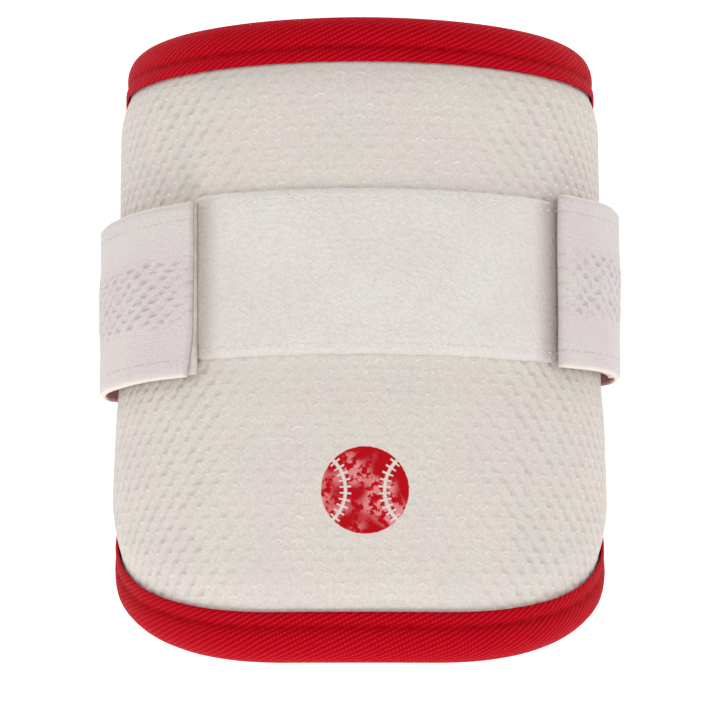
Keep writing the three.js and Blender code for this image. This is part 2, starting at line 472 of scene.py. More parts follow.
# Mesh cells: their spacing along the arch and that of their staggered rows. Their walls run on in one
# slanting direction, the more so the further they are to a side, up to CELL_LEAN at LEAN_REACH. Between
# FRONT_REACH and SIDE_REACH from the crown their hollows deepen, in the bump and in their painted shade.
CELL = 5.75 * MM
CELL_ROW = 3.15 * MM
CELL_LEAN = 0.8
LEAN_REACH = 60 * MM
FRONT_REACH = 22 * MM
SIDE_REACH = 62 * MM

# The painted highlight's arc on the glossy yarn of a mesh cell: the height of its top and how strongly it
# bends, in cells.
HIGHLIGHT_TOP = 0.74
HIGHLIGHT_BEND = 4.2

# The worn mark printed on the mesh below the panel: a ball, with its seams drawn round a point to each
# side of it and ticks across them.
MARK_X = 1.4 * MM
MARK_Y = -44 * MM
MARK_RADIUS = 12.2 * MM
MARK_FRAY = 0.5 * MM
MARK_SOFT = 0.15 * MM
SEAM_BESIDE = 17 * MM
SEAM_RADIUS = 11.6 * MM
SEAM_WIDTH = (0.62 * MM, 0.3 * MM)
TICK_LENGTH = (1.75 * MM, 1.45 * MM)
TICKS_TO_A_RADIAN = 6.2

# Pitches of the lining's knit, of the twill's ribs and knots, and of the loop panel's rows.
LINING_STITCH = 1.1 * MM
LINING_ROW = 0.8 * MM
TWILL_RIB = 1.5 * MM
TWILL_KNOT = 1.1 * MM
PILE_ROW = 1.2 * MM

# How far along the tape's section, from its lip, the crease and its painted shade lie.
CREASE_ALONG = 4.6 * MM

# The strap's weave: its ribs, its dents and their rows, the half width of the dented middle, the line woven
# beside each edge and where the edge itself begins.
WEB_RIB = 0.95 * MM
DENT = 7.4 * MM
DENT_ROW = 2.05 * MM
DENTED = (11.0 * MM, 8.2 * MM)
WOVEN_LINE = 20.0 * MM
WOVEN_LINE_WIDTH = (0.4 * MM, 0.1 * MM)
SELVEDGE = (24.1 * MM, 24.8 * MM)


def cells(f, along, across, width, row, lean):
    """A staggered field of cells: 3 in the middle of each, about -1.2 on the walls between them. With a lean
    from -1 to 1 the walls run on in one of their two slanting directions."""
    u = f.times(along, 1 / width)
    v = f.times(across, 1 / row)
    half = f.times(v, 0.5)
    rising = f.times(f.wave(f.minus(u, half)), f.minus(1.0, lean))
    falling = f.times(f.wave(f.plus(u, half)), f.plus(1.0, lean))
    rows = f.times(f.wave(v), f.minus(1.0, f.times(f.size(lean), 0.45)))
    return f.plus(f.plus(rising, falling), rows)


def highlight_arcs(f, along, across, reach):
    """Where the glossy yarn gets its painted highlight: an arc over the top of each mesh cell, reaching a
    share of its width to each side of its middle."""
    v = f.times(across, 1 / CELL_ROW)
    row = f.math("FLOOR", v)
    u = f.plus(f.times(along, 1 / CELL), f.times(row, 0.5))
    from_middle = f.minus(f.math("FRACT", u), 0.5)
    height = f.minus(f.math("FRACT", v), HIGHLIGHT_TOP)
    bend = f.times(f.times(from_middle, from_middle), HIGHLIGHT_BEND)
    line = f.spread(f.size(f.plus(height, bend)), 0.15, 0.03)
    return f.times(line, f.spread(f.minus(f.size(from_middle), reach), 0.06, -0.08))


def worn_mark(f, along, across, stands, cloth):
    """A plain ball with its two seams printed on the cloth, rubbed thin where the mesh stands up."""
    place = f.at(along, across)
    dx = f.minus(along, MARK_X)
    dy = f.minus(across, MARK_Y)
    out = f.plus(f.distance(dx, dy), f.drift(place, 900.0, 2.0, MARK_FRAY))
    disc = f.spread(out, MARK_RADIUS + MARK_SOFT, MARK_RADIUS - MARK_SOFT)
    seam_x = f.minus(f.size(dx), SEAM_BESIDE)
    off_seam = f.size(f.minus(f.distance(seam_x, dy), SEAM_RADIUS))
    line = f.spread(off_seam, *SEAM_WIDTH)
    turn = f.times(f.math("ARCTAN2", dy, seam_x), TICKS_TO_A_RADIAN)
    ticks = f.times(f.spread(f.wave(turn), 0.5, 0.8), f.spread(off_seam, *TICK_LENGTH))
    drawn = f.either(line, ticks)
    rubbing = f.noise(place, 420.0, 4.0, 0.62)
    worn = f.spread(f.plus(rubbing, f.times(stands, 0.05)), 0.5, 0.56)
    where = f.spread(f.noise(place, 85.0, 1.0), 0.44, 0.6)
    ink = f.tint(srgb(174, 0, 16), worn, where, srgb(216, 130, 132))
    return f.tint(cloth, disc, f.minus(1.0, drawn), ink)


def mesh_cloth():
    f = Finish("mesh_cloth", roughness=0.8, specular=0.12)
    along, across = f.pattern()
    place = f.at(along, across)
    wobble = f.drift(place, 130.0, 2.0, 1.3 * MM)
    along_w = f.plus(along, wobble)
    across_w = f.plus(across, f.times(wobble, 0.6))
    lean = f.spread(along, -LEAN_REACH, LEAN_REACH, -CELL_LEAN, CELL_LEAN)
    cell = cells(f, along_w, across_w, CELL, CELL_ROW, lean)
    aside = f.spread(f.size(along), FRONT_REACH, SIDE_REACH)
    # Painted shade: the cells' hollows are painted darker, more so towards the sides, and the same mask sets
    # the bump.
    hollow = f.math("POWER", f.spread(cell, -1.8, 3.0), 1.7)
    hollow = f.times(hollow, f.spread(aside, 0.0, 1.0, 0.5, 1.5))
    patchy = f.spread(f.noise(place, 170.0, 2.0), 0.36, 0.62, 0.45, 1.0)
    shaded = f.times(hollow, patchy)
    fibre = f.noise(f.at(along, f.times(across, 0.6)), 2300.0, 3.0, 0.75)
    knit = f.noise(place, 900.0, 4.0, 0.7)
    highlight_spots = f.spread(f.noise(place, 330.0, 3.0), 0.42, 0.56)
    highlight_spots = f.times(highlight_spots, f.spread(f.noise(place, 60.0, 2.0), 0.3, 0.6))
    side_highlight_spots = f.times(aside, f.spread(f.noise(place, 420.0, 2.0), 0.34, 0.5))
    # Painted highlight: the yarn arcs are painted lighter where they catch the light, at random spots, with
    # a real lower roughness there too.
    yarn = highlight_arcs(f, along_w, across_w, f.spread(aside, 0.0, 1.0, 0.28, 0.15))
    yarn = f.times(yarn, f.either(highlight_spots, side_highlight_spots))
    blotch = f.noise(f.solid_place(), 34.0, 2.0, 0.6)
    cast = f.noise(f.solid_place(), 62.0, 1.0, 0.5)
    tone = f.blend(f.spread(blotch, 0.36, 0.64), srgb(220, 209, 206), srgb(220, 214, 203))
    tone = f.tint(tone, f.spread(cast, 0.5, 0.66), 0.5, srgb(211, 211, 205))
    tone = f.tint(tone, f.spread(fibre, 0.4, 0.62), 0.55, srgb(197, 189, 183))
    tone = f.tint(tone, f.spread(knit, 0.42, 0.62), 0.4, srgb(197, 188, 181))
    # Painted shade in the cells' hollows.
    tone = f.tint(tone, shaded, 0.3, srgb(176, 166, 159))
    # Painted highlight on the yarn arcs.
    tone = f.tint(tone, yarn, f.spread(aside, 0.0, 1.0, 0.42, 0.52), srgb(246, 240, 230))
    tone = worn_mark(f, along, across, f.minus(1.0, hollow), tone)
    fine = f.plus(f.times(fibre, 0.36), f.times(knit, 0.5))
    relief = f.plus(f.plus(f.times(shaded, -0.85), fine), f.times(yarn, 0.15))
    return f.done(tone, f.bump(relief, 0.38 * MM), f.spread(yarn, 0.0, 1.0, 0.82, 0.55))


def lining_cloth():
    f = Finish("lining_cloth", roughness=0.85, sheen=0.05, specular=0.1)
    along, across = f.pattern()
    knit = f.plus(f.ribs(along, LINING_STITCH), f.ribs(across, LINING_ROW))
    blotch = f.noise(f.solid_place(), 40.0, 3.0, 0.6)
    tone = f.blend(f.spread(blotch, 0.3, 0.7), srgb(208, 204, 200), srgb(222, 218, 214))
    tone = f.tint(tone, f.spread(knit, 0.5, -1.6), 0.4, srgb(178, 174, 170))
    return f.done(tone, f.bump(knit, 0.09 * MM))


def twill_tape():
    f = Finish("twill_tape", roughness=0.66, specular=0.03)
    along, across = f.pattern()
    place = f.at(along, across)
    waver = f.times(f.noise(place, 70.0, 2.0), 1.2 * MM)
    rib = f.ribs(f.plus(f.plus(across, f.times(along, 0.5)), waver), TWILL_RIB)
    knot = f.ribs(f.minus(along, f.times(across, 0.25)), TWILL_KNOT)
    bead = f.spread(f.plus(rib, f.times(knot, 0.8)), 0.2, 1.6)
    thread = f.noise(place, 1900.0, 3.0, 0.7)
    shade = f.noise(f.solid_place(), 60.0, 2.0)
    crease = f.spread(f.size(f.minus(across, CREASE_ALONG)), 1.5 * MM, 0.3 * MM)
    # Painted shade and light: the ribs' grooves are painted darker and their crests lighter, and the beads
    # on the crests get painted highlights.
    tone = f.blend(f.spread(rib, -1.0, 0.6), srgb(158, 0, 14), srgb(186, 2, 24))
    tone = f.tint(tone, f.spread(shade, 0.35, 0.7), 0.35, srgb(172, 0, 16))
    tone = f.tint(tone, bead, 0.55, srgb(222, 38, 62))
    tone = f.tint(tone, f.spread(thread, 0.4, 0.72), 0.3, srgb(156, 0, 14))
    # Painted shade in the crease.
    tone = f.tint(tone, crease, 0.4, srgb(140, 0, 10))
    relief = f.plus(f.times(rib, 0.55), f.plus(f.times(bead, 0.5), f.times(thread, 0.5)))
    return f.done(tone, f.bump(relief, 0.16 * MM))


def loop_pile():
    f = Finish("loop_pile", roughness=0.9, sheen=0.06, specular=0.1)
    along, across = f.pattern()
    place = f.at(along, across)
    half = PANEL_WIDTH / 2
    pile = f.noise(place, 1300.0, 4.0, 0.75)
    tuft = f.add("TexVoronoi", {"Vector": place, "Scale": 780.0}).outputs["Distance"]
    slanting = f.plus(across, f.times(along, 0.6))
    rows = f.ribs(f.plus(slanting, f.times(pile, 0.5 * MM)), PILE_ROW)
    blotch = f.noise(place, 45.0, 2.0, 0.5)
    streak = f.noise(f.at(along, f.times(across, 0.18)), 380.0, 4.0, 0.75)
    # Painted shadow: the pile beside each of the strap's raised ends is painted darker.
    left_end_shadow = f.spread(along, LEFT_ARC + 8 * MM, LEFT_ARC + MM)
    right_end_shadow = f.spread(along, RIGHT_ARC - 9 * MM, RIGHT_ARC - MM)
    # Painted shade along the panel's lower rim and painted light along its upper rim, to even out how the
    # lamps light the two rims.
    shaded_hem_rim = f.spread(across, -half + 1.6 * MM, -half + 0.3 * MM)
    lit_top_rim = f.spread(across, half - 1.8 * MM, half - 0.6 * MM)
    tone = f.blend(f.spread(blotch, 0.3, 0.7), srgb(220, 214, 211), srgb(225, 220, 216))
    tone = f.tint(tone, left_end_shadow, 0.75, srgb(188, 174, 164))
    tone = f.tint(tone, right_end_shadow, 0.85, srgb(180, 167, 164))
    tone = f.tint(tone, shaded_hem_rim, 0.4, srgb(203, 196, 190))
    tone = f.tint(tone, lit_top_rim, 0.6, srgb(244, 241, 237))
    tone = f.tint(tone, f.spread(pile, 0.35, 0.7), 0.5, srgb(211, 206, 201))
    tone = f.tint(tone, f.spread(tuft, 0.3, 0.9), 0.25, srgb(200, 194, 188))
    tone = f.tint(tone, f.spread(streak, 0.62, 0.76), 0.4, srgb(172, 164, 157))
    relief = f.plus(pile, f.plus(f.times(tuft, -0.8), f.times(rows, 0.12)))
    return f.done(tone, f.bump(relief, 0.28 * MM))


def elastic_web():
    f = Finish("elastic_web", roughness=0.75, specular=0.12)
    along, across = f.pattern()
    place = f.at(along, across)
    wobble = f.drift(f.at(along, f.times(across, 1.6)), 95.0, 3.0, 3.0 * MM)
    crinkle = f.drift(place, 380.0, 2.0, 1.7 * MM)
    along_w = f.plus(along, f.plus(f.times(wobble, 2.0), f.times(crinkle, 1.5)))
    across_w = f.plus(across, f.plus(f.times(wobble, 0.7), crinkle))
    off_centre = f.size(across)
    middle = f.spread(f.plus(off_centre, f.times(wobble, 0.8)), *DENTED)
    rib = f.ribs(across_w, WEB_RIB)
    lean = f.spread(along, 0.1, 0.2, 0.45, -0.45)
    dent = cells(f, along_w, across_w, DENT, DENT_ROW, lean)
    # Painted shade: the dents are painted darker, less so near the ends, and the same mask sets the bump.
    hollow = f.times(f.math("POWER", f.spread(dent, -1.9, 3.2), 1.3), middle)
    from_end = f.math("MINIMUM", along, f.minus(STRAP_LENGTH, along))
    hollow = f.times(hollow, f.spread(from_end, 2 * MM, 9 * MM, 0.4, 1.0))
    deep = f.spread(f.noise(place, 300.0, 3.0), 0.34, 0.6, 0.3, 1.15)
    shaded = f.times(hollow, deep)
    broken = f.spread(f.noise(f.at(along, f.times(across, 0.1)), 420.0, 1.0), 0.42, 0.56)
    line = f.times(f.spread(f.size(f.minus(off_centre, WOVEN_LINE)), *WOVEN_LINE_WIDTH), broken)
    selvedge = f.spread(off_centre, *SELVEDGE)
    yarn = f.noise(f.at(f.times(along, 0.45), across), 1900.0, 4.0, 0.7)
    knit = f.noise(place, 900.0, 3.0, 0.6)
    blotch = f.noise(f.solid_place(), 45.0, 2.0, 0.5)
    tone = f.blend(f.spread(blotch, 0.36, 0.64), srgb(211, 201, 202), srgb(213, 207, 203))
    tone = f.tint(tone, f.spread(yarn, 0.36, 0.66), 0.45, srgb(194, 182, 183))
    tone = f.tint(tone, f.spread(knit, 0.4, 0.66), 0.3, srgb(192, 180, 181))
    tone = f.tint(tone, line, 0.35, srgb(172, 158, 160))
    # Painted shade in the dents.
    tone = f.tint(tone, shaded, 0.28, srgb(162, 151, 149))
    tone = f.tint(tone, selvedge, 0.7, srgb(234, 223, 204))
    fine = f.plus(f.times(rib, 0.05), f.plus(f.times(knit, 0.35), f.times(yarn, 0.45)))
    relief = f.plus(fine, f.plus(f.times(shaded, -1.7), f.times(line, -0.25)))
    return f.done(tone, f.bump(relief, 0.32 * MM))


def hook_tape():
    f = Finish("hook_tape", roughness=0.6, specular=0.2)
    along, across = f.pattern()
    hooks = f.noise(f.at(along, f.times(across, 0.4)), 1500.0, 3.0, 0.6)
    grime = f.noise(f.solid_place(), 180.0, 3.0, 0.6)
    tone = f.blend(f.spread(grime, 0.35, 0.7), srgb(215, 205, 197), srgb(200, 187, 176))
    tone = f.tint(tone, f.spread(hooks, 0.4, 0.7), 0.35, srgb(184, 169, 156))
    return f.done(tone, f.bump(hooks, 0.15 * MM))


def sewing_thread(name, light, dark):
    f = Finish(name, roughness=0.65, specular=0.1)
    ply = f.noise(f.solid_place(), 2600.0, 2.0, 0.6)
    return f.done(f.blend(f.spread(ply, 0.3, 0.7), light, dark), f.bump(ply, 0.12 * MM))


CLOTH = mesh_cloth()
LINING = lining_cloth()
TWILL = twill_tape()
PILE = loop_pile()
ELASTIC = elastic_web()
HOOK = hook_tape()
WHITE_THREAD = sewing_thread("white_thread", srgb(232, 228, 224), srgb(206, 200, 196))
RED_THREAD = sewing_thread("red_thread", srgb(158, 2, 18), srgb(132, 0, 10))


# Pad


# How far in from the rim the pad's border rings lie, in millimetres.
PAD_RINGS = (4.4, 6.2, 8.4, 10.6, 12.6, 14.0, 15.4, 16.9, 18.4, 19.9, 21.4, 23.0)
PAD_STEPS = 64
PAD_LAYERS = 6

# The lining covers what lies deeper than this below the pad's outside.
LINING_DEPTH = PAD_THICKNESS * 0.55

# The cloth's swell under pressure: how far it may go, its frames and its settings, and over which distances
# from the tape and from the panel it comes free.
SWELL_CAP = 1.1 * MM
SWELL_FRAMES = 20
SWELL_SETTINGS = {
    "quality": 4,
    "mass": 0.3,
    "tension_stiffness": 12,
    "compression_stiffness": 12,
    "bending_stiffness": 0.4,
    "use_pressure": True,
    "uniform_pressure_force": 4.0,
}
FREE_OF_TAPE = (TAPE_LIP + 1.5 * MM, BORDER + 4 * MM)
FREE_OF_PANEL = (1 * MM, 16 * MM)

# Soft waves in the swelled cloth: their scale to a metre and their height in millimetres.
SOFT_WAVES = ((38.0, 0.35), (90.0, 0.14))


def pad_flat(u, v, w):
    """A pad grid point's place in the flat pattern, and its ring's inset."""
    rings = PAD_STEPS // 2
    last = len(PAD_RINGS) - 1
    column = round((u + 1) * rings)
    row = round((v + 1) * rings)
    ring = min(column, row, PAD_STEPS - column, PAD_STEPS - row)
    steps = max(PAD_STEPS - 2 * ring, 1)
    edge_u = 2 * (column - ring) / steps - 1
    edge_v = 2 * (row - ring) / steps - 1
    ring_inset = PAD_RINGS[min(ring, last)] * MM
    inset = ring_inset
    if ring == 0:
        across = 2 * w - 1
        inset = RIM_ROUND * (1 - math.sqrt(max(1 - across * across, 0.0)))
    inner = min((rings - ring) / (rings - last), 1.0)
    return inset_point(edge_u, edge_v, inset) * inner, ring_inset


def border_share(inset):
    """How much of the border's drop is left at an inset."""
    if inset <= TAPE_LIP:
        return 1.0
    share = (inset - TAPE_LIP) / (BORDER - TAPE_LIP)
    return max(1 - share, 0.0) ** BORDER_FADE


def place_pad(u, v, w):
    flat, inset = pad_flat(u, v, w)
    share = border_share(inset)
    radius = radius_at(flat.y)
    outside = radius - BORDER_DROP * share
    inside = radius - PAD_THICKNESS + BORDER_RISE * share
    return on_arch(flat.x, flat.y, inside + (outside - inside) * w)


def swell(piece, cap, room):
    """Blows a pad up a little with cloth under pressure. No point moves further than cap times its room."""
    rest = [v.co.copy() for v in piece.data.vertices]
    rooms = [room(co) for co in rest]
    held = piece.vertex_groups.new(name="held")
    for i, value in enumerate(rooms):
        held.add([i], 1.0 - value, "REPLACE")
    cloth = piece.modifiers.new("swell", "CLOTH")
    for setting, value in SWELL_SETTINGS.items():
        setattr(cloth.settings, setting, value)
    cloth.settings.vertex_group_mass = "held"
    cloth.settings.effector_weights.gravity = 0.0
    scene = bpy.context.scene
    for number in range(1, SWELL_FRAMES + 1):
        scene.frame_set(number)
    shaped = piece.evaluated_get(bpy.context.evaluated_depsgraph_get())
    moved = [v.co.copy() for v in shaped.data.vertices]
    scene.frame_set(1)
    piece.modifiers.remove(cloth)
    piece.vertex_groups.remove(held)
    for vert, before, after, value in zip(piece.data.vertices, rest, moved, rooms):
        step = after - before
        limit = cap * value
        if step.length > limit:
            step = step * (limit / step.length)
        vert.co = before + step


def pad_room(co):
    """How free the pad's cloth is to swell: none under the tape and the panel, all of it between them."""
    arc = math.atan2(co.x, co.z - AXIS_Z) * PAD_RADIUS
    inset = min(SIDE_ARC - abs(arc), PAD_LENGTH / 2 - abs(co.y))
    hem_rise = max(abs(arc) - HEM_FLAT, 0.0) ** 2 / (2 * HEM_RADIUS)
    inset = min(inset, co.y + PAD_LENGTH / 2 - hem_rise)
    from_panel = abs(co.y - PANEL_CENTRE) - PANEL_WIDTH / 2
    return ramp(inset, *FREE_OF_TAPE) * ramp(from_panel, *FREE_OF_PANEL)


def build_pad():
    pad = slab(
        "pad_cover",
        PAD_STEPS,
        PAD_STEPS,
        place_pad,
        lambda u, v, w: pad_flat(u, v, w)[0],
        [CLOTH, LINING],
        layers=PAD_LAYERS,
    )
    for face in pad.data.polygons:
        if from_axis(face.center).length < radius_at(face.center.y) - LINING_DEPTH:
            face.material_index = 1
    swell(pad, SWELL_CAP, pad_room)
    for vert in pad.data.vertices:
        co = vert.co
        soft = sum(noise.noise(co * pitch) * height for pitch, height in SOFT_WAVES)
        vert.co = co + from_axis(co).normalized() * (soft * MM * pad_room(co))
    smooth = pad.modifiers.new("smooth", "SUBSURF")
    smooth.levels = 1
    smooth.render_levels = 1
    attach(pad, "root")
    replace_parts(pad, "guard_pad")


# Edge tape


# The tape's section, in millimetres: how far in from the pad's rim, and height from the pad's outside. It
# runs over the outside, round the rim, along the arm side, and back against the pad.
TAPE_SECTION = (
    (12.7, -1.4),
    (11.9, -0.85),
    (10.4, -0.76),
    (9.2, -1.12),
    (8.4, -1.42),
    (7.6, -1.1),
    (6.2, -0.62),
    (4.4, -0.7),
    (2.3, -1.35),
    (0.5, -2.8),
    (-0.9, -5.0),
    (-1.4, -7.6),
    (-1.1, -10.2),
    (0.2, -12.4),
    (2.2, -13.7),
    (4.6, -14.15),
    (6.4, -14.05),
    (8.4, -13.6),
    (10.2, -14.0),
    (12.0, -14.1),
    (12.7, -13.6),
    (12.2, -12.95),
    (8.6, -12.95),
    (4.6, -12.9),
    (1.2, -11.6),
    (-0.2, -9.0),
    (-0.2, -6.2),
    (1.2, -3.6),
    (4.6, -2.0),
    (8.4, -2.4),
    (10.6, -2.0),
    (12.2, -1.75),
)
TAPE_STATIONS = 480

# The tape's face is what stands higher than FACE_ABOVE or lies further out than FACE_OUTSIDE.
FACE_ABOVE = -1.6 * MM
FACE_OUTSIDE = 0.6 * MM

# Unevenness of its face: soft waves with their scale to a metre and their height, how deep they may dip,
# and the puckers in the crease, with their pitch, their height and how far to each side they reach.
TAPE_WAVES = 60.0
TAPE_WAVE_HEIGHT = 0.22 * MM
TAPE_DIP = 0.15 * MM
PUCKER_PITCH = 3.1 * MM
PUCKER_HEIGHT = 0.16 * MM
PUCKER_REACH = 1.2 * MM

# Points of the tape that meet where its ends and its section close are joined within this distance.
WELD = 1e-7

# The stitches in the crease: their number round the guard and their heights on the front and the arm side.
TAPE_STITCHES = 268
FRONT_STITCH = -1.38 * MM
BACK_STITCH = -13.65 * MM


def station_edge(share):
    """The point of the square's edge at a share of the way round, from the middle of its right side."""
    side = (share * 4 + 0.5) % 4
    step = 2 * (side % 1.0) - 1
    return [(1, step), (-step, 1), (-1, -step), (step, -1)][int(side)]


def tape_walk():
    """For each station: its edge point, and its length along the tape. The first lies under the strap."""
    walk = []
    distance = 0.0
    before = inset_point(*station_edge(0.0), 0.0)
    for i in range(TAPE_STATIONS + 1):
        edge = station_edge(i / TAPE_STATIONS)
        flat = inset_point(*edge, 0.0)
        distance += (flat - before).length
        before = flat
        walk.append((edge, distance))
    return walk


def tape_lift(inset, height, flat, distance):
    """How far the tape's face stands off its section."""
    if height <= FACE_ABOVE and inset >= FACE_OUTSIDE:
        return 0.0
    lift = noise.noise(Vector((flat.x, flat.y, height)) * TAPE_WAVES) * TAPE_WAVE_HEIGHT
    if abs(inset - TAPE_CREASE) < PUCKER_REACH:
        lift += math.cos(distance / PUCKER_PITCH * 2 * PI) * PUCKER_HEIGHT
    return max(lift, -TAPE_DIP)


def build_tape():
    section = smooth_loop(TAPE_SECTION, 2)
    along_section = [0.0]
    for a, b in zip(section, section[1:] + section[:1]):
        along_section.append(along_section[-1] + (b - a).length * MM)
    walk = tape_walk()
    rows = len(section)
    bm = bmesh.new()
    bmesh.ops.create_grid(bm, x_segments=rows, y_segments=TAPE_STATIONS, size=1.0)
    pattern = bm.loops.layers.uv.new("flat")

    def indices(co):
        return round((co.x + 1) / 2 * rows), round((co.y + 1) / 2 * TAPE_STATIONS)

    for face in bm.faces:
        for loop in face.loops:
            row, station = indices(loop.vert.co)
            loop[pattern].uv = (walk[station][1], along_section[row])
    for vert in bm.verts:
        row, station = indices(vert.co)
        inset, height = section[row % rows] * MM
        edge, distance = walk[station % TAPE_STATIONS]
        flat = inset_point(*edge, inset)
        lift = tape_lift(inset, height, flat, distance)
        vert.co = on_arch(flat.x, flat.y, radius_at(flat.y) + height + lift)
    bmesh.ops.remove_doubles(bm, verts=bm.verts[:], dist=WELD)
    tape = finish_mesh("edge_binding", bm, [TWILL])
    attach(tape, "root")
    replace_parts(tape, "edge_tape")


def build_tape_stitches():
    """One row of stitches in the tape's crease on each face."""
    bm = bmesh.new()
    for height, way in ((FRONT_STITCH, 1.0), (BACK_STITCH, -1.0)):
        places = []
        for i in range(TAPE_STITCHES):
            spots = []
            for share in ((i + 0.25) / TAPE_STITCHES, (i + 0.75) / TAPE_STITCHES):
                flat = inset_point(*station_edge(share % 1.0), TAPE_CREASE)
                spots.append(on_arch(flat.x, flat.y, radius_at(flat.y) + height))
            middle = (spots[0] + spots[1]) / 2
            up = from_axis(middle).normalized() * way
            places.append((middle, (spots[1] - spots[0]).normalized(), up))
        stitch_run(bm, places, length=2.2 * MM, width=0.4 * MM, height=0.26 * MM)
    stitches = finish_mesh("tape_stitches", bm, [RED_THREAD])
    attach(stitches, "root")


# Loop panel


# The panel's edges: how far in they round, the share of its thickness at the very edge, the fray and the
# slack of the cut, the seam with its furrow, and the unevenness of the pile.
PANEL_ROUND = 2.6 * MM
PANEL_AT_EDGE = 0.15
PANEL_FRAY = 0.25 * MM
PANEL_SLACK = 0.1 * MM
PANEL_SEAM = 3.1 * MM
PANEL_FURROW = 0.14 * MM
PANEL_FURROW_REACH = 1.6 * MM
PANEL_PUFF = 0.12 * MM

# The seam's stitches in each row, how far past the strap's ends they run, how deep they sit and how far
# they wander.
PANEL_STITCHES = 34
PANEL_STITCH_PAST = 4 * MM
PANEL_STITCH_DEPTH = 0.28 * MM
PANEL_STITCH_WANDER = 0.2 * MM


def panel_arcs(u):
    """Where a point lies along the panel, which runs on under the strap's ends as far as the hooks do."""
    left = LEFT_ARC - HOOK_LENGTH
    right = RIGHT_ARC + HOOK_LENGTH
    return left + (right - left) * (u + 1) / 2


def panel_width(arc):
    """The panel's width, which narrows under the strap's ends."""
    under = max(LEFT_ARC - arc, arc - RIGHT_ARC, 0.0)
    return PANEL_WIDTH + (PANEL_NARROW - PANEL_WIDTH) * ramp(under, 0.0, PANEL_NARROWING)


def place_panel(u, v, w):
    arc = panel_arcs(u)
    half = panel_width(arc) / 2
    fray = noise.noise(Vector((arc * 260, v * 3.1, 0.4))) * PANEL_FRAY
    y = PANEL_CENTRE + v * (half - PANEL_SLACK) + fray * abs(v) ** 8
    rise = edge_round(half * (1 - abs(v)), PANEL_ROUND)
    keep = PANEL_AT_EDGE + (1 - PANEL_AT_EDGE) * rise
    base = PANEL_INSIDE - GAP * (1 - rise)
    from_seam = abs(half - abs(y - PANEL_CENTRE) - PANEL_SEAM)
    furrow = PANEL_FURROW * (1 - ramp(from_seam, 0.0, PANEL_FURROW_REACH))
    puff = noise.noise(Vector((arc * 70, y * 70, 1.7))) * PANEL_PUFF
    top = PANEL_THICKNESS * keep - furrow + puff - PANEL_SLACK
    return on_arch(arc, y, base + w * top)


def build_panel():
    panel = slab(
        "loop_band",
        150,
        64,
        place_panel,
        lambda u, v, w: (panel_arcs(u), v * PANEL_WIDTH / 2),
        [PILE],
        layers=3,
    )
    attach(panel, "root")
    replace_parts(panel, "loop_panel")
    bm = bmesh.new()
    left = LEFT_ARC - PANEL_STITCH_PAST
    right = RIGHT_ARC + PANEL_STITCH_PAST
    pitch = (right - left) / PANEL_STITCHES
    radius = PANEL_INSIDE + PANEL_THICKNESS - PANEL_STITCH_DEPTH
    for v in (-1, 1):
        y = PANEL_CENTRE + v * (PANEL_WIDTH / 2 - PANEL_SEAM)
        places = []
        for i in range(PANEL_STITCHES):
            arc = left + pitch * (i + 0.5)
            shift = noise.noise(Vector((i * 0.73, v, 0.2))) * PANEL_STITCH_WANDER
            angle = arc / PAD_RADIUS
            places.append((on_arch(arc, y + shift, radius), onward(angle), outward(angle)))
        stitch_run(bm, places, length=2.4 * MM, width=0.5 * MM, height=0.4 * MM)
    stitches = finish_mesh("panel_stitches", bm, [WHITE_THREAD])
    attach(stitches, "root")


# Elastic strap


# How far the strap's left end is cut back towards the hem.
STRAP_CUT = 2.6 * MM

# The strap thins to a share of its thickness at its edges and ends, which round over these lengths. Its
# ends are folded and sewn, and the right one bends down.
STRAP_THIN = 0.45
STRAP_EDGE_ROUND = 1.1 * MM
STRAP_END_ROUND = 0.7 * MM
STRAP_END_BLUNT = 0.15 * MM
FOLD_THICKNESS = 0.35 * MM
FOLD_REACH = (5 * MM, 6.5 * MM)
DROOP = 0.7 * MM
DROOP_REACH = 1.6 * MM

# On the front the strap is a little uneven and wanders a little, and bulges along its middle, away from
# its ends. FRONT_RISE holds the heights above the surface between which that begins.
FRONT_RISE = (12 * MM, 30 * MM)
STRAP_WAVE = 0.3 * MM
STRAP_DIP = 0.1 * MM
STRAP_WANDER = 0.5 * MM
STRAP_BULGE = 0.4 * MM
BULGE_EDGE = (0.2, 0.5)
BULGE_FROM_END = (12 * MM, 24 * MM)

# How far the left hook patch shows past the strap's end, more so by the flare towards the hem, and how far
# the right one is set back under it.
HOOK_SHOWS = 0.2 * MM
HOOK_FLARE = 0.3 * MM
HOOK_SET_BACK = 3.2 * MM

# The stitches across each end: their number, the half width that they cover as a share of the strap's, how
# far they stand off it and how far from the right and the left end they lie.
END_STITCHES = 19
END_STITCH_SPAN = 0.93
END_STITCH_LIFT = 0.3 * MM
RIGHT_STITCHES_AT = 2.4 * MM
LEFT_STITCHES_AT = 2.8 * MM


def strap_span(u, v):
    """Distance along the strap. Its left end is cut back in a curve towards the hem."""
    short = STRAP_CUT * ramp(-v, 0.2, 1.2) ** 1.5
    return (STRAP_LENGTH - short) * (u + 1) / 2


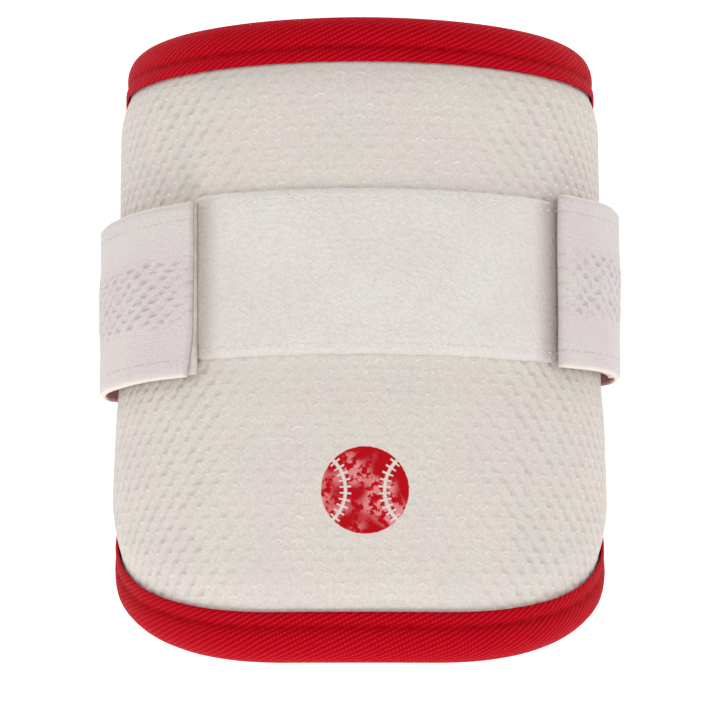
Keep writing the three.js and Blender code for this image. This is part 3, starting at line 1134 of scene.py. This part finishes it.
def place_strap(u, v, w):
    distance = strap_span(u, v)
    middle, out = strap_at(distance)
    from_end = min(distance, STRAP_LENGTH - distance)
    half = STRAP_WIDTH / 2
    front = ramp(middle.z, *FRONT_RISE)
    edge = edge_round(half * (1 - abs(v)), STRAP_EDGE_ROUND)
    edge *= edge_round(from_end + STRAP_END_BLUNT, STRAP_END_ROUND)
    thick = STRAP_THICKNESS * (STRAP_THIN + (1 - STRAP_THIN) * edge)
    fold = FOLD_THICKNESS * (1 - ramp(from_end, *FOLD_REACH)) * front
    wave = noise.noise(Vector((distance * 45, v * 1.3, 2.2))) * STRAP_WAVE * front
    bulge = (1 - ramp(abs(v), *BULGE_EDGE)) * STRAP_BULGE * ramp(from_end, *BULGE_FROM_END) * front
    wander = noise.noise(Vector((distance * 30, 4.0, 0.3))) * STRAP_WANDER * front
    droop = DROOP * (1 - ramp(distance, 0.0, DROOP_REACH))
    lift = w * (thick + fold) - STRAP_THICKNESS / 2 + max(wave + bulge, -STRAP_DIP) - droop
    point = middle + out * lift
    return Vector((point.x, strap_y(v * half + wander, middle.x), point.z))


def hook_slab(name, start, end, flare):
    """A hook patch between two angles from the crown."""

    def place(u, v, w):
        angle = start + (end - start) * (u + 1) / 2
        angle += flare * ramp(-v, -0.6, 1.0) / HOOK_INSIDE * ramp(u, 0.4, 1.0)
        point = Vector((0.0, 0.0, AXIS_Z)) + outward(angle) * (HOOK_INSIDE + w * HOOK_THICKNESS)
        return Vector((point.x, strap_y(v * HOOK_WIDTH / 2, point.x), point.z))

    def flat(u, v, w):
        return u * HOOK_LENGTH / 2, v * HOOK_WIDTH / 2

    patch = slab(name, 40, 24, place, flat, [HOOK], layers=3)
    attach(patch, "root")
    return patch


def build_strap():
    strap = slab(
        "strap_loop",
        300,
        44,
        place_strap,
        lambda u, v, w: (strap_span(u, v), v * STRAP_WIDTH / 2),
        [ELASTIC],
        layers=3,
    )
    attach(strap, "root")
    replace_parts(strap, "elastic_strap")
    long = HOOK_LENGTH / HOOK_INSIDE
    left = -LEFT_END - HOOK_SHOWS / HOOK_INSIDE
    right = RIGHT_END + HOOK_SET_BACK / HOOK_INSIDE
    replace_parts(hook_slab("hook_left", left - long, left, HOOK_FLARE), "hook_patch_left")
    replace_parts(hook_slab("hook_right", right, right + long, 0.0), "hook_patch_right")
    bm = bmesh.new()
    for distance in (RIGHT_STITCHES_AT, STRAP_LENGTH - LEFT_STITCHES_AT):
        middle, out = strap_at(distance)
        point = middle + out * (STRAP_THICKNESS / 2 + END_STITCH_LIFT)
        places = []
        for i in range(END_STITCHES):
            v = (2 * (i + 0.5) / END_STITCHES - 1) * END_STITCH_SPAN
            y = strap_y(v * STRAP_WIDTH / 2, middle.x)
            places.append((Vector((point.x, y, point.z)), Vector((0, 1, 0)), out))
        stitch_run(bm, places, length=1.7 * MM, width=0.36 * MM, height=0.3 * MM)
    stitches = finish_mesh("strap_stitches", bm, [WHITE_THREAD])
    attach(stitches, "root")


# Studio


WHITE = (1.0, 1.0, 1.0, 1.0)
FLOOR_DROP = 0.5 * MM
LIT_POINT = (0.0, 0.0, 50 * MM)

# The camera looks at CAMERA_AIM from this elevation and distance. Its focal length and its shift were read
# in pixels of a square picture.
CAMERA_ELEVATION = math.radians(84)
CAMERA_AIM = Vector((0.0, -1 * MM, 60 * MM))
CAMERA_DISTANCE = 0.975
FOCAL_PIXELS = 3363
SHIFT_PIXELS = -11
PICTURE_PIXELS = 720
SENSOR = 36


def turned_to(place, aim):
    """The turn that points an object at a place towards its aim."""
    return (Vector(aim) - Vector(place)).to_track_quat("-Z", "Y").to_euler()


def area_light(name, place, size, power):
    """A round lamp that faces the guard."""
    lamp = bpy.data.lights.new(name, "AREA")
    lamp.shape = "DISK"
    lamp.size = size
    lamp.energy = power
    holder = bpy.data.objects.new(name, lamp)
    holder.location = place
    holder.rotation_euler = turned_to(place, LIT_POINT)
    bpy.context.scene.collection.objects.link(holder)


def studio():
    """A white floor that glows a little, an even white world and four lamps."""
    bm = bmesh.new()
    bmesh.ops.create_grid(bm, x_segments=1, y_segments=1, size=3.0)
    f = Finish("studio_floor", roughness=0.9)
    f.set("Emission Color", WHITE)
    f.set("Emission Strength", 0.55)
    floor = finish_mesh("studio_floor", bm, [f.done(srgb(252, 252, 252))])
    floor.location.z = -FLOOR_DROP
    world = bpy.data.worlds.new("studio")
    world.use_nodes = True
    sky = world.node_tree.nodes["Background"]
    sky.inputs["Color"].default_value = WHITE
    sky.inputs["Strength"].default_value = 0.52
    bpy.context.scene.world = world
    area_light("overhead", (0.1, 0.5, 1.3), size=1.0, power=6.0)
    area_light("hem_side", (-0.1, -1.1, 0.75), size=0.8, power=9.0)
    area_light("left", (-1.2, 0.0, 0.42), size=0.7, power=2.0)
    area_light("right", (1.2, 0.0, 0.42), size=0.7, power=2.2)
    bpy.context.scene.view_settings.view_transform = "Standard"


def camera():
    """A long lens, nearly overhead, a little towards the hem."""
    back = Vector((0.0, -math.cos(CAMERA_ELEVATION), math.sin(CAMERA_ELEVATION)))
    lens = bpy.data.cameras.new("camera")
    lens.sensor_width = SENSOR
    lens.lens = SENSOR * FOCAL_PIXELS / PICTURE_PIXELS
    lens.shift_y = SHIFT_PIXELS / PICTURE_PIXELS
    lens.clip_start = 0.05
    lens.clip_end = 20
    eye = bpy.data.objects.new("camera", lens)
    eye.location = CAMERA_AIM + back * CAMERA_DISTANCE
    eye.rotation_euler = turned_to(eye.location, CAMERA_AIM)
    bpy.context.scene.collection.objects.link(eye)
    bpy.context.scene.camera = eye


camera()
studio()
build_pad()
build_tape()
build_tape_stitches()
build_panel()
build_strap()
